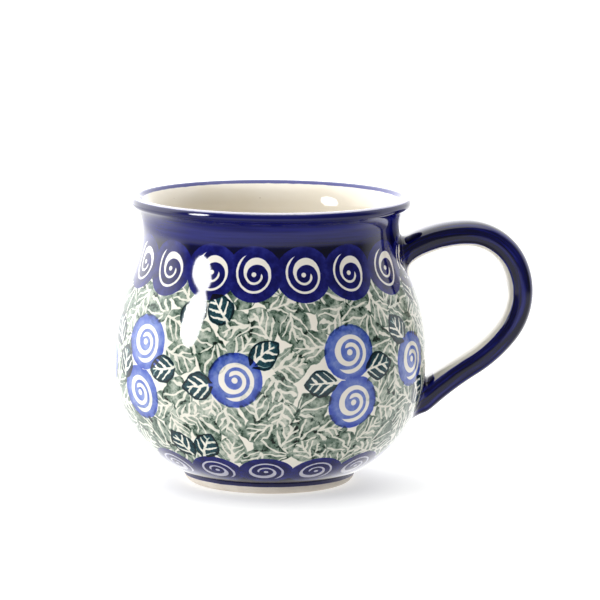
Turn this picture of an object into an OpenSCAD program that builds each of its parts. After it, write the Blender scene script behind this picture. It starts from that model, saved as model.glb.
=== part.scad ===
// Hand-decorated stoneware mug: a round-bellied cup with a rolled lip, a bare foot ring and
// one strap handle. The origin is the centre of the foot's resting plane, +Z is up and the
// handle points along +X. Every outline is a chain of arcs that run smoothly into each other.

/* [Body] */
// Height from the table to the top of the lip
height = 88.5; // [86:0.5:92]
// Outside diameter of the lip
rim_d = 86; // [84:0.5:88]
// Outside diameter of the belly at its widest
belly_d = 96.8; // [95:0.2:99]
// Height of the widest place of the belly
belly_z = 40; // [38:0.5:42]
// Outside diameter of the neck at its narrowest
neck_d = 79.4; // [78:0.2:81]
// Height of the narrowest place of the neck
neck_z = 78; // [77:0.5:79]
// Wall at the belly, glaze included
belly_wall = 5; // [4:0.25:6]
// Height of the cup's inner floor above the table
floor_z = 7.5; // [6.5:0.25:9]

/* [Curves] */
// Radius of the rolled lip
lip_r = 1.65; // [1.5:0.05:1.8]
// Radius of the hollow just under the lip
flare_r = 6; // [5:0.5:8]
// Radius of the hollow of the neck
neck_r = 31.5; // [29:0.5:34]
// Radius of the belly just below its widest place
belly_low_r = 56; // [52:1:60]
// How far below the widest place that radius runs, in degrees
belly_low_turn = 8; // [6:1:10]
// Radius of the cup's inside below the belly
bowl_in_r = 40; // [38:0.5:42]
// Radius between the inner wall and the inner floor
floor_r = 10; // [8:0.5:12]

/* [Foot] */
// Diameter where the glaze stops above the foot
foot_d = 53.6; // [52:0.2:55]
// Height where the glaze stops
foot_z = 3.6; // [3.2:0.1:4.5]
// Rounding of the foot's outer edge
foot_r = 3.2; // [2.8:0.1:3.2]
// Inner diameter of the ring that the mug stands on
ring_in_d = 40; // [36:1:42]
// Depth of the hollow under the base
hollow = 2.2; // [1.5:0.1:3]

/* [Handle] */
// Width of the strap, glaze included
strap_w = 15; // [13:0.5:17]
// Thickness of the strap, glaze included
strap_t = 8; // [7:0.25:9]
// Height of the strap's upper end, inside the wall
strap_start_z = 66.2; // [65.5:0.1:67]
// How far the slip spreads round the strap at the wall
slip_spread = 2; // [1:0.1:2.2]
// How far from the wall the slip reaches
slip_reach = 4; // [3:0.25:5]

/* [Glaze] */
// Thickness of the fired glaze
glaze = 0.35; // [0.25:0.05:0.5]

/* [Hidden] */

$fn = 144;
arc_step = 3.5;         // longest step along an outline, in degrees
crest = 100;            // the outer and inner glaze meet just inside the lip's crest, in degrees
strap_start = [36.6, strap_start_z];
strap_start_turn = 56;  // the strap leaves the wall this many degrees above level
// The strap's runs as [radius, turn]: a positive turn bends down, a negative one bends up.
strap_runs = [[22, 31], [35, 25], [16.5, 65], [20.5, 63], [42, 20], [100, -10], [9, 45]];
strap_bend = 2 / 3.2;   // shape of the section: 1 is an ellipse, towards 0 a rectangle
strap_sides = 24;
end_step = 1.4;         // spacing of the strap's sections near the wall
end_steps = 11;         // number of those at each end
mid_step = 3;           // spacing of the sections between them
feather = 0.1;          // thickness of the slip towards its thin edge

// ---- arcs --------------------------------------------------------------------------

function turn_of(v) = atan2(v[1], v[0]);
function dir(a) = [cos(a), sin(a)];

// Points along an arc, each with the normal that points out of the clay:
// side is 1 where the arc bulges away from the clay and -1 where it hollows it.
function arc(c, r, a0, a1, side) =
    let (n = max(2, ceil(abs(a1 - a0) / arc_step)))
    [for (i = [0:n]) let (a = a0 + (a1 - a0) * i / n) [c + r * dir(a), side * dir(a)]];

// Where the circle of radius d1 round c1 crosses the circle of radius d2 round c2,
// on the right of the line from c1 to c2.
function crossing(c1, d1, c2, d2) =
    let (v = c2 - c1, d = norm(v), a = (d1 * d1 - d2 * d2 + d * d) / (2 * d),
         h = sqrt(d1 * d1 - a * a), u = v / d)
    c1 + a * u + h * [u[1], -u[0]];

// Radius of a belly that is widest at [x, belly_z] and runs smoothly into a neck of radius r.
function belly_r(x, r) =
    let (dx = neck_c[0] - x, dz = neck_z - belly_z)
    (dx * dx + dz * dz - r * r) / (2 * (r - dx));

// ---- the mug's outline, from the foot over the lip to the inner floor ---------------

lip_c = [rim_d / 2 - lip_r, height - lip_r];
neck_c = [neck_d / 2 + neck_r, neck_z];
flare_c = crossing(lip_c, lip_r + flare_r, neck_c, neck_r - flare_r);
lip_turn = turn_of(lip_c - flare_c);
flare_turn = turn_of(flare_c - neck_c);

belly_x = belly_d / 2;
belly_up_r = belly_r(belly_x, neck_r);
belly_up_c = [belly_x - belly_up_r, belly_z];
belly_up_turn = turn_of(neck_c - belly_up_c);

belly_low_c = [belly_x - belly_low_r, belly_z];
bowl_dir = dir(-belly_low_turn);
bowl_top = belly_low_c + belly_low_r * bowl_dir;
bowl_span = [foot_d / 2, foot_z] - bowl_top;
bowl_r = -(bowl_span * bowl_span) / (2 * (bowl_span * bowl_dir));
bowl_c = bowl_top - bowl_r * bowl_dir;
bowl_turn = turn_of([foot_d / 2, foot_z] - bowl_c);

outside = concat(
    arc(bowl_c, bowl_r, bowl_turn, -belly_low_turn, 1),
    arc(belly_low_c, belly_low_r, -belly_low_turn, 0, 1),
    arc(belly_up_c, belly_up_r, 0, belly_up_turn, 1),
    arc(neck_c, neck_r, belly_up_turn + 180, flare_turn, -1),
    arc(flare_c, flare_r, flare_turn, lip_turn, -1),
    arc(lip_c, lip_r, lip_turn - 180, crest, 1));

wall = 2 * lip_r;       // wall at the neck and lip, glaze included
in_x = belly_x - belly_wall;
in_up_r = belly_r(in_x, neck_r + wall);
in_up_c = [in_x - in_up_r, belly_z];
in_up_turn = turn_of(neck_c - in_up_c);
bowl_in_c = [in_x - bowl_in_r, belly_z];
corner_z = floor_z + floor_r;
corner_c = [bowl_in_c[0] + sqrt(pow(bowl_in_r - floor_r, 2) - pow(belly_z - corner_z, 2)), corner_z];
corner_turn = turn_of(corner_c - bowl_in_c);

inside = concat(
    arc(lip_c, lip_r, crest, lip_turn, 1),
    arc(flare_c, flare_r + wall, lip_turn, flare_turn, 1),
    arc(neck_c, neck_r + wall, flare_turn, in_up_turn + 180, 1),
    arc(in_up_c, in_up_r, in_up_turn, 0, -1),
    arc(bowl_in_c, bowl_in_r, 0, corner_turn, -1),
    arc(corner_c, floor_r, corner_turn, -90, -1),
    [[[0, floor_z], [0, 1]]]);

// A skin's points, and the same moved by d along their normals into the clay.
function places(skin) = [for (p = skin) p[0]];
function sunk(skin, d) = [for (p = skin) p[0] - d * p[1]];
function backward(list) = [for (i = [len(list) - 1:-1:0]) list[i]];
function on_axis(p) = [0, p[1]];

ring_in_x = ring_in_d / 2;
ring_edge_r = 1;        // rounding of the ring's inner edge
foot_c = [foot_d / 2 - glaze - foot_r, foot_r];
foot = concat(
    [[0, hollow], [ring_in_x - ring_edge_r, hollow]],
    places(arc([ring_in_x, ring_edge_r], ring_edge_r, 180, 270, 1)),
    places(arc(foot_c, foot_r, -90, 0, 1)));

// ---- sub-parts made on the wheel -----------------------------------------------------

module turned(points) { rotate_extrude() polygon(points); }

// Everything inside the clay's outer skin, with no cup hollow.
module clay_core() {
    skin = sunk(outside, glaze);
    turned(concat([[0, skin[0][1]]], skin, [on_axis(skin[len(skin) - 1])]));
}

module body() {
    color("wheat")
        turned(concat(foot, sunk(outside, glaze), sunk(inside, glaze)));
}

module outer_glaze() {
    color("royalblue") difference() {
        turned(concat(places(outside), backward(sunk(outside, glaze))));
        solid_sweep([for (k = [0:end_steps - 2]) skin_ring(k, glaze)]);
        solid_sweep([for (k = [last - end_steps + 2:last]) skin_ring(k, glaze)]);
    }
}

module inner_glaze() {
    color("ivory")
        turned(concat(places(inside), backward(sunk(inside, glaze))));
}

module base_glaze() {
    color("ivory")
        translate([0, 0, hollow - glaze])
            cylinder(h = glaze, r = ring_in_x - ring_edge_r);
}

// ---- the handle ----------------------------------------------------------------------

function run_length(run) = run[0] * abs(run[1]) * PI / 180;
function total(runs, i = 0) = i == len(runs) ? 0 : run_length(runs[i]) + total(runs, i + 1);

// Place and direction [p, a] after turning by t degrees on a run's radius, from p in direction a.
function turned_by(p, a, r, t) =
    let (s = sign(t), c = p + s * r * [sin(a), -cos(a)])
    [c - s * r * [sin(a - t), -cos(a - t)], a - t];

// Place and direction at distance d along the strap's middle line.
function along(d, i = 0, p = strap_start, a = strap_start_turn) =
    let (run = strap_runs[i], length = run_length(run))
    d <= length || i == len(strap_runs) - 1
        ? turned_by(p, a, run[0], run[1] * d / length)
        : let (next = turned_by(p, a, run[0], run[1])) along(d - length, i + 1, next[0], next[1]);

strap_length = total(strap_runs);
mid_from = end_step * end_steps;
mid_steps = round((strap_length - 2 * mid_from) / mid_step);
stations = concat(
    [for (k = [0:end_steps - 1]) k * end_step],
    [for (k = [0:mid_steps]) mid_from + (strap_length - 2 * mid_from) * k / mid_steps],
    [for (k = [end_steps - 1:-1:0]) strap_length - k * end_step]);
last = len(stations) - 1;

// Radius of the mug's outside at height z.
outline_rows = [for (p = outside) if (p[0][1] < lip_c[1]) [p[0][1], p[0][0]]];
function clearance(p) = norm([p[0], p[1]]) - lookup(p[2], outline_rows);

// Thickness of the slip over the point p of section k: it fills the corner at the wall.
function slip_over(k, p) =
    k >= end_steps && k <= last - end_steps ? 0
        : max(feather, slip_spread * pow(max(0, 1 - max(0, clearance(p)) / slip_reach), 2));

// The strap's section number k, a rounded oblong of half sizes t and w.
function oblong(k, t, w) =
    let (s = along(stations[k]))
    [for (i = [0:strap_sides - 1])
        let (b = 360 * (i + 0.5) / strap_sides,
             u = t * sign(cos(b)) * pow(abs(cos(b)), strap_bend),
             v = w * sign(sin(b)) * pow(abs(sin(b)), strap_bend))
        [s[0][0] - u * sin(s[1]), v, s[0][1] + u * cos(s[1])]];

half_t = strap_t / 2 - glaze;
half_w = strap_w / 2 - glaze;
function clay_ring(k) = oblong(k, half_t, half_w);

// Section k over clay and slip, with a coat of thickness coat on top.
function skin_ring(k, coat) =
    let (clay = clay_ring(k))
    [for (i = [0:strap_sides - 1])
        let (grow = slip_over(k, clay[i]) + coat, out = oblong(k, half_t + grow, half_w + grow))
        out[i]];

// Quads between two rings of n points whose first points are numbered a and b.
function band(a, b, n) =
    [for (i = [0:n - 1]) let (j = (i + 1) % n) each [
        [a + i, a + j, b + j],
        [a + i, b + j, b + i]]];

// A solid through a list of rings.
module solid_sweep(rings) {
    n = len(rings[0]);
    top = len(rings) - 1;
    faces = concat(
        [[for (i = [n - 1:-1:0]) i], [for (i = [0:n - 1]) top * n + i]],
        [for (k = [0:top - 1]) each band(k * n, (k + 1) * n, n)]);
    polyhedron([for (ring = rings) each ring], faces);
}

// A tube between outer and inner rings. Where thin is "first" or "last", that end closes
// to an edge: the inner ring there is the outer one.
module tube_sweep(outer, inner, thin = "none") {
    n = len(outer[0]);
    top = len(outer) - 1;
    function at(k) = (k == 0 && thin == "first") || (k == top && thin == "last") ? k * n : (top + 1 + k) * n;
    faces = concat(
        [for (k = [0:top - 1]) each band(k * n, (k + 1) * n, n)],
        [for (k = [0:top - 1]) each band(at(k + 1), at(k), n)],
        thin == "first" ? [] : band(at(0), 0, n),
        thin == "last" ? [] : band(top * n, at(top), n));
    polyhedron([for (ring = concat(outer, inner)) each ring], faces);
}

module handle() {
    color("tan") difference() {
        solid_sweep([for (k = [0:last]) clay_ring(k)]);
        clay_core();
    }
}

module upper_slip() {
    span = [0:end_steps];
    color("burlywood") difference() {
        tube_sweep([for (k = span) skin_ring(k, 0)], [for (k = span) clay_ring(k)], "last");
        clay_core();
    }
}

module lower_slip() {
    span = [last - end_steps:last];
    color("burlywood") difference() {
        tube_sweep([for (k = span) skin_ring(k, 0)], [for (k = span) clay_ring(k)], "first");
        clay_core();
    }
}

module handle_glaze() {
    span = [0:last];
    color("midnightblue") difference() {
        tube_sweep([for (k = span) skin_ring(k, glaze)], [for (k = span) skin_ring(k, 0)]);
        clay_core();
    }
}

body();
handle();
upper_slip();
lower_slip();
inner_glaze();
outer_glaze();
handle_glaze();
base_glaze();
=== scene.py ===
"""Looks of a hand-stamped, round-bellied stoneware mug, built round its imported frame.

The cup is turned: a profile in (radius, height) is carried round the axis. The handle is a strap
carried along a bent line. Decoration is stamped in ink: each stamp has its own flat millimetre
coordinates, kept in the mesh as an attribute, and inks darken each other where stamps overlap.
"""
import math

import bpy
import numpy as np
from mathutils import Matrix, Vector


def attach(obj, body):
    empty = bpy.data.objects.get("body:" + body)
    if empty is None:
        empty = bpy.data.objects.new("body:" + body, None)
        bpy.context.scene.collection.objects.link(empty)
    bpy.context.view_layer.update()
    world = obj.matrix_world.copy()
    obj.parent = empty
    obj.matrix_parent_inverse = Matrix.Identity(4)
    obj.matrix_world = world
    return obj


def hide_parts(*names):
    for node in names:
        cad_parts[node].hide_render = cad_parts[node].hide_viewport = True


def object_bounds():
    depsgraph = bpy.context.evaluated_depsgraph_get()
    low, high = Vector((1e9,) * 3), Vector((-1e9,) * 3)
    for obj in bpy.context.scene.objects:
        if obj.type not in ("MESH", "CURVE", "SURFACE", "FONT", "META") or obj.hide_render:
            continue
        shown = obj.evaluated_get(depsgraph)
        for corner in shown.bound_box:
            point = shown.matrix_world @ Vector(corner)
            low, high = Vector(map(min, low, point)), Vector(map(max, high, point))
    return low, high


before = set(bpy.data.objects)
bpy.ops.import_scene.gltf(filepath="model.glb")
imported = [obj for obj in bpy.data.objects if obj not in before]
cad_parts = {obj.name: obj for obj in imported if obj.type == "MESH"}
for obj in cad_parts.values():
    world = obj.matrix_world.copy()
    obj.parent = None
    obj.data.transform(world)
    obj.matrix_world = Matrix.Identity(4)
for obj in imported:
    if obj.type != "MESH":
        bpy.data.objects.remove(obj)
cad_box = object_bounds()

MM = 0.001
CAD_LOW = np.array(cad_box[0]) / MM
CAD_HIGH = np.array(cad_box[1]) / MM

# ---- driving sizes, in millimetres and degrees -------------------------------------------

HEIGHT = CAD_HIGH[2]
BELLY_R = -CAD_LOW[0]
LIP_R = 1.65
RIM_R = 43.0
NECK = (39.7, 78.0)  # radius and height of the narrowest place
BELLY_Z = 40.0
NECK_BEND = 31.5
FLARE_BEND = 6.0
BELLY_LOW_BEND = 56.0
BELLY_LOW_TURN = 8.0
FOOT = (26.8, 3.6)  # radius and height where the glaze stops
WALL = 2 * LIP_R  # thickness at the neck and lip
BELLY_WALL = 5.0
BOWL_BEND_IN = 40.0
FLOOR_Z = 7.5
FLOOR_BEND = 10.0
RING_IN_R = 20.0
RING_EDGE = 1.0  # rounding where the ring meets the hollow of the base
HOLLOW = 2.2
FOOT_BEND = 3.2
GLAZE = 0.35  # thickness of every coat
POOL = 0.25  # how much thicker the coat in the base is at its edge
CREST = 100.0  # where outer and inner glaze meet, just inside the top of the lip

STRAP_W = 15.0
STRAP_T = 8.0
STRAP_START = (36.6, 66.2)
STRAP_START_TURN = 56.0
# The strap's runs as (radius, turn): a positive turn bends down.
STRAP_RUNS = ((22, 31), (35, 25), (16.5, 65), (20.5, 63), (42, 20), (100, -10), (9, 45))
STRAP_ROUND = 3.2  # exponent of the strap's rounded oblong section
FILLET = 3.2  # reach of the slip fillets along strap and wall
TUCK = 0.25  # how far the handle's coat goes into the coat of the wall

COLUMNS = 384  # faces round the stamped coat
PLAIN_COLUMNS = 192  # faces round the other turned pieces
ROW_STEP = 0.85  # longest step along a profile
ARC_STEP = 6.0  # longest step round an arc, in degrees
FLOOR_ROWS = 24
HOLLOW_ROWS = 20
POOL_ROWS = 40
BEAD_ROWS = 5  # rows round the coat's edge at the foot
UNDER_STEP = 3  # the hidden side of the stamped coat has a third of its rows
HOLD = 0.02  # a row this close to a sharp corner keeps the shading round it crisp
LAND_HOLD = 0.1  # the same for the foot's flat land

# ---- outlines of the cup -----------------------------------------------------------------


def way(angle):
    """Unit vector at an angle in degrees."""
    return np.array([math.cos(math.radians(angle)), math.sin(math.radians(angle))])


def angle_of(vector):
    """Angle of a vector, in degrees."""
    return math.degrees(math.atan2(vector[1], vector[0]))


def arc(centre, radius, start, end, side):
    """Points c + r (cos a, sin a) for a from start to end, with normals that point out of the clay:
    side is 1 where the clay bulges and -1 where it is hollow. Returns rows of (r, z, nr, nz)."""
    span = abs(end - start)
    count = max(2, math.ceil(span / ARC_STEP), math.ceil(math.radians(span) * radius / ROW_STEP))
    turn = np.radians(np.linspace(start, end, count + 1))
    ray = np.stack([np.cos(turn), np.sin(turn)], axis=1)
    return np.hstack([np.asarray(centre) + radius * ray, side * ray])


def crossing(c1, d1, c2, d2):
    """Where the circle of radius d1 round c1 crosses that of d2 round c2, right of c1 to c2."""
    span = c2 - c1
    reach = np.linalg.norm(span)
    near = (d1 * d1 - d2 * d2 + reach * reach) / (2 * reach)
    unit = span / reach
    return c1 + near * unit + math.sqrt(d1 * d1 - near * near) * np.array([unit[1], -unit[0]])


def belly_bend(widest, neck_bend):
    """Radius of a belly widest at (widest, BELLY_Z) that runs smoothly into the neck's hollow."""
    dr = neck_c[0] - widest
    dz = neck_c[1] - BELLY_Z
    return (dr * dr + dz * dz - neck_bend * neck_bend) / (2 * (neck_bend - dr))


def chain(*runs):
    """Joins runs of an outline and drops the doubled rows where they meet."""
    rows = np.vstack(runs)
    keep = np.r_[True, np.hypot(*np.diff(rows[:, :2], axis=0).T) > 1e-6]
    return rows[keep]


def sunk(rows, depth):
    """An outline moved into the clay by depth, along its normals."""
    return np.hstack([rows[:, :2] - depth * rows[:, 2:], rows[:, 2:]])


lip_c = np.array([RIM_R - LIP_R, HEIGHT - LIP_R])
neck_c = np.array([NECK[0] + NECK_BEND, NECK[1]])
flare_c = crossing(lip_c, LIP_R + FLARE_BEND, neck_c, NECK_BEND - FLARE_BEND)
lip_turn = angle_of(lip_c - flare_c)
flare_turn = angle_of(flare_c - neck_c)
belly_up_r = belly_bend(BELLY_R, NECK_BEND)
belly_up_c = np.array([BELLY_R - belly_up_r, BELLY_Z])
belly_up_turn = angle_of(neck_c - belly_up_c)
belly_low_c = np.array([BELLY_R - BELLY_LOW_BEND, BELLY_Z])
bowl_way = way(-BELLY_LOW_TURN)
bowl_top = belly_low_c + BELLY_LOW_BEND * bowl_way
bowl_span = np.array(FOOT) - bowl_top
bowl_r = -(bowl_span @ bowl_span) / (2 * (bowl_span @ bowl_way))
bowl_c = bowl_top - bowl_r * bowl_way

OUTSIDE = chain(
    arc(bowl_c, bowl_r, angle_of(np.array(FOOT) - bowl_c), -BELLY_LOW_TURN, 1),
    arc(belly_low_c, BELLY_LOW_BEND, -BELLY_LOW_TURN, 0, 1),
    arc(belly_up_c, belly_up_r, 0, belly_up_turn, 1),
    arc(neck_c, NECK_BEND, belly_up_turn + 180, flare_turn, -1),
    arc(flare_c, FLARE_BEND, flare_turn, lip_turn, -1),
    arc(lip_c, LIP_R, lip_turn - 180, CREST, 1),
)

inner_widest = BELLY_R - BELLY_WALL
inner_up_r = belly_bend(inner_widest, NECK_BEND + WALL)
inner_up_c = np.array([inner_widest - inner_up_r, BELLY_Z])
inner_up_turn = angle_of(neck_c - inner_up_c)
bowl_in_c = np.array([inner_widest - BOWL_BEND_IN, BELLY_Z])
corner_z = FLOOR_Z + FLOOR_BEND
corner_out = math.sqrt((BOWL_BEND_IN - FLOOR_BEND) ** 2 - (BELLY_Z - corner_z) ** 2)
corner_c = np.array([bowl_in_c[0] + corner_out, corner_z])
corner_turn = angle_of(corner_c - bowl_in_c)


def level(radii, z, side):
    """A level run through the given radii at height z, facing up or down as side says."""
    radii = np.asarray(radii, float)
    ones = np.ones_like(radii)
    return np.stack([radii, z * ones, 0 * ones, side * ones], axis=1)


INSIDE = chain(
    arc(lip_c, LIP_R, CREST, lip_turn, 1),
    arc(flare_c, FLARE_BEND + WALL, lip_turn, flare_turn, 1),
    arc(neck_c, NECK_BEND + WALL, flare_turn, inner_up_turn + 180, 1),
    arc(inner_up_c, inner_up_r, inner_up_turn, 0, -1),
    arc(bowl_in_c, BOWL_BEND_IN, 0, corner_turn, -1),
    arc(corner_c, FLOOR_BEND, corner_turn, -90, -1),
    level(np.linspace(corner_c[0], 0, FLOOR_ROWS), FLOOR_Z, 1),
)

foot_c = np.array([FOOT[0] - GLAZE - FOOT_BEND, FOOT_BEND])
UNDERSIDE = chain(
    level(np.linspace(0, RING_IN_R - RING_EDGE, HOLLOW_ROWS), HOLLOW, -1),
    arc((RING_IN_R, RING_EDGE), RING_EDGE, 180, 270, 1),
    level((RING_IN_R + LAND_HOLD, foot_c[0] - LAND_HOLD), 0, -1),
    arc(foot_c, FOOT_BEND, -90, 0, 1),
)

# ---- meshes ------------------------------------------------------------------------------


def mesh_piece(name, points, quads, triangles=()):
    """A smooth mesh object from points in millimetres and arrays of faces."""
    mesh = bpy.data.meshes.new(name)
    faces = np.asarray(quads).tolist() + np.asarray(triangles).tolist()
    mesh.from_pydata((points * MM).tolist(), [], faces)
    mesh.shade_smooth()
    piece = bpy.data.objects.new(name, mesh)
    bpy.context.collection.objects.link(piece)
    return piece


def grid_quads(rows, columns, closed_rows):
    """Quads of a grid whose columns close on themselves, and whose rows do too if closed_rows."""
    row = np.arange(rows if closed_rows else rows - 1)[:, None]
    column = np.arange(columns)[None, :]
    right = (column + 1) % columns
    up = (row + 1) % rows
    corners = [row * columns + column, row * columns + right, up * columns + right, up * columns + column]
    return np.stack(corners, axis=-1).reshape(-1, 4)


def round_axis(profile, columns):
    """Points (r cos a, r sin a, z) of a profile carried round the axis."""
    turn = np.arange(columns) * 2 * np.pi / columns
    radius = profile[:, :1]
    height = np.broadcast_to(profile[:, 1:2], (len(profile), columns))
    return np.stack([radius * np.cos(turn), radius * np.sin(turn), height], axis=-1).reshape(-1, 3)


def turned_ring(name, profile, columns=COLUMNS):
    """A closed profile that stays off the axis, carried round it. It runs clay side on its left."""
    return mesh_piece(name, round_axis(profile, columns), grid_quads(len(profile), columns, True))


def turned_solid(name, profile, columns=COLUMNS):
    """A profile from the axis to the axis, carried round it, with one point at each pole."""
    body = profile[1:-1]
    points = round_axis(body, columns)
    quads = grid_quads(len(body), columns, False)
    first = len(points)
    column = np.arange(columns)
    right = (column + 1) % columns
    top = (len(body) - 1) * columns
    start_fan = np.stack([right, column, np.full(columns, first)], axis=1)
    end_fan = np.stack([top + column, top + right, np.full(columns, first + 1)], axis=1)
    poles = np.array([[0, 0, profile[0, 1]], [0, 0, profile[-1, 1]]])
    return mesh_piece(name, np.vstack([points, poles]), quads, np.vstack([start_fan, end_fan]))


def held(rows):
    """An outline with an extra row just inside each end."""
    first = rows[:1] + (rows[1:2] - rows[:1]) * HOLD / np.linalg.norm(rows[1, :2] - rows[0, :2])
    last = rows[-1:] + (rows[-2:-1] - rows[-1:]) * HOLD / np.linalg.norm(rows[-2, :2] - rows[-1, :2])
    return np.vstack([rows[:1], first, rows[1:-1], last, rows[-1:]])


def bead(row, thickness, turn_sign):
    """Half a circle from a coat's outer skin to its inner skin, which rounds off the coat's edge."""
    centre = row[:2] - row[2:] * thickness / 2
    start = angle_of(row[2:])
    turns = np.radians(start + turn_sign * np.linspace(0, 180, BEAD_ROWS + 2)[1:-1])
    return centre + thickness / 2 * np.stack([np.cos(turns), np.sin(turns)], axis=1)


def outer_shell():
    """The coat on the outside: outer skin up, inner skin down, with a rounded edge at the foot."""
    skin = held(OUTSIDE)
    under = sunk(OUTSIDE, GLAZE)
    under = np.vstack([under[::UNDER_STEP], under[-1:]])
    edge = bead(OUTSIDE[0], GLAZE, -1)
    return np.vstack([skin[:, :2], under[::-1, :2], edge[::-1]]), len(skin)


def inner_shell():
    """The coat inside: from the middle of the floor up to the crest, and back a coat's depth in."""
    skin = held(INSIDE[:-1])
    return np.vstack([INSIDE[-1:, :2], skin[::-1, :2], sunk(INSIDE[:-1], GLAZE)[:, :2],
                      [[0, FLOOR_Z - GLAZE]]])


def clay_profile():
    """The clay: under the base, up the outside and down the inside, a coat's depth in."""
    return np.vstack([UNDERSIDE[:, :2], sunk(OUTSIDE, GLAZE)[:, :2], sunk(INSIDE, GLAZE)[1:, :2]])


def base_profile():
    """The glaze in the hollow of the base: GLAZE + POOL s^12 thick at a share s of the way out."""
    edge = RING_IN_R - RING_EDGE
    out = np.linspace(0, 1, POOL_ROWS)
    under = np.stack([edge * out, HOLLOW - GLAZE - POOL * out ** 12], axis=1)
    top = np.array([[edge, HOLLOW], [edge * 0.6, HOLLOW], [0, HOLLOW]])
    return np.vstack([under, top])


# ---- stamps on the outside ---------------------------------------------------------------

# Turns are degrees from the middle of the handle, heights are millimetres above the table.
UPPER_TURNS = (-163, -142, -120, -101.5, -80.5, -59.5, -36.5, -15.5, 5.5, 27, 48, 69.5, 90.5,
               112, 133, 154.5, 175.5)
UPPER_Z = 69.7
LOWER_TURNS = (-147, -121, -96, -70.5, -46, -20.5, 5, 31, 56.5, 82, 108, 134, 160, -173)
LOWER_Z = 8.8
SCALLOP_R = 8.6
ROSE_R = 8.4
# Roses as (turn, height).
ROSES = ((-146, 47.7), (-149.5, 31.8), (-107, 38.9), (-64.7, 46.8), (-62.7, 31.4), (-31.7, 41.8),
         (30, 44), (71, 47), (67.5, 31.5), (110, 39), (149, 48.5), (146, 32.5), (-178, 40))
# Dark leaves as (turn, height, way that the tip points, in degrees above level).
LEAVES = ((-114, 59.5, 125), (-124.5, 58, 50), (-96.5, 46.8, 40), (-158.5, 40.4, 80),
          (-136.5, 40.3, 190), (-121, 36.5, 188), (-76.2, 37.7, 180), (-40, 51.9, 120),
          (-51.8, 42, 10), (-21, 63, 100), (-24, 31, -40), (-132.5, 17.2, 118), (-121, 17.4, 62),
          (20, 55, 130), (42, 36, -30), (57, 41, 170), (83, 40, 20), (74, 59.5, 80),
          (98, 48, 150), (122, 33, -20), (104, 20, 60), (134, 43, 160), (163, 40.5, 10),
          (158, 58.5, 45), (-166, 49.5, 120), (-178, 27.5, -60), (40, 19, 100))
LEAF_HALF = (5.45, 4.3)
SAGE_HALF = (6.2, 5.1)
SAGE_GAP = 6.5  # least distance between the middles of two sage stamps
SAGE_LAYERS = 6
SAME_LAYER_GAP = 11.0
SAGE_HEIGHTS = (13.0, 66.0)
SAGE_THROWS = 9000
ROSE_CLEAR = ROSE_R + 0.9  # from the middle of a rose to the nearest middle of a sage stamp
LEAF_CLEAR = 5.8  # the same for a dark leaf
HAND_LIFT = 0.15  # how far the hand strays in height, as one standard deviation
HAND_TILT = 4.0  # and in tilt, in degrees
ROSE_TILT = 5.0  # the same for roses
FAN_STEP = math.radians(32)  # between the rays of a fan-veined print
FAR = 999.0  # stands for no stamp here
SEED = 12
# The flat map: two strips of the outer skin, a low strip for the rest, and a clear edge all round.
STRIP_TALL = 0.445
STRIP_STEP = 0.465
REST_AT = 0.93
REST_TALL = 0.055
MAP_EDGE = 0.01


class Skin:
    """The outer skin's rows, with their lengths along the profile, and its columns' turns."""

    def __init__(self, rows):
        steps = np.hypot(*np.diff(rows[:, :2], axis=0).T)
        self.length = np.r_[0, np.cumsum(steps)]
        self.radius, self.height = rows[:, :2].T
        self.top = int(np.argmax(self.height))
        self.turn = np.arange(COLUMNS + 1) * 2 * np.pi / COLUMNS
        row = np.arange(len(rows) - 1)[:, None, None] + np.array([0, 0, 1, 1])
        self.row = np.broadcast_to(row, (len(rows) - 1, COLUMNS, 4))

    def length_at(self, z):
        """Length along the profile, from the foot, at a height below the lip's crest."""
        return np.interp(z, self.height[:self.top], self.length[:self.top])

    def radius_at(self, z):
        """The skin's radius at a height below the lip's crest."""
        return np.interp(z, self.height[:self.top], self.radius[:self.top])

    def layer(self, stamps, half, reach=1.35):
        """Corner places (x, y, tone) in each stamp's own millimetres, for stamps listed as
        (turn, height, tilt, tone). Where two of them meet, a face takes the nearer one."""
        shape = self.row.shape
        places = np.full(shape + (3,), FAR)
        places[..., 2] = 0
        best = np.full(shape[:2], reach * reach)
        middle = (self.turn[:-1] + self.turn[1:]) / 2
        for turn, z, tilt, tone in stamps:
            off = (middle - math.radians(turn) + np.pi) % (2 * np.pi) - np.pi
            start = self.length_at(z)
            wide = max(half) * reach
            rows = np.flatnonzero(np.abs(self.length[:-1] - start) < wide + ROW_STEP)
            # More turns are looked at than the stamp needs, for where the cup is narrower.
            columns = np.flatnonzero(np.abs(off) * self.radius_at(z) < 1.6 * wide)
            pick = np.ix_(rows, columns)
            beside = np.array([-0.5, 0.5, 0.5, -0.5]) * 2 * np.pi / COLUMNS
            east = (off[columns][None, :, None] + beside) * self.radius[self.row[pick]]
            north = self.length[self.row[pick]] - start
            cos, sin = way(tilt)
            x = east * cos + north * sin
            y = north * cos - east * sin
            far = (x.mean(axis=2) / half[0]) ** 2 + (y.mean(axis=2) / half[1]) ** 2
            nearer = far < best[pick]
            best[pick] = np.where(nearer, far, best[pick])
            new = np.stack([x, y, np.full(x.shape, tone)], axis=-1)
            places[pick] = np.where(nearer[..., None, None], new, places[pick])
        return places


def apart(stamp, others, skin):
    """Distances over the skin from a stamp to others, given as rows of (turn, height)."""
    off = (stamp[0] - others[:, 0] + 180) % 360 - 180
    radius = skin.radius_at((stamp[1] + others[:, 1]) / 2)
    lift = skin.length_at(stamp[1]) - skin.length_at(others[:, 1])
    return np.hypot(np.radians(off) * radius, lift)


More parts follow.
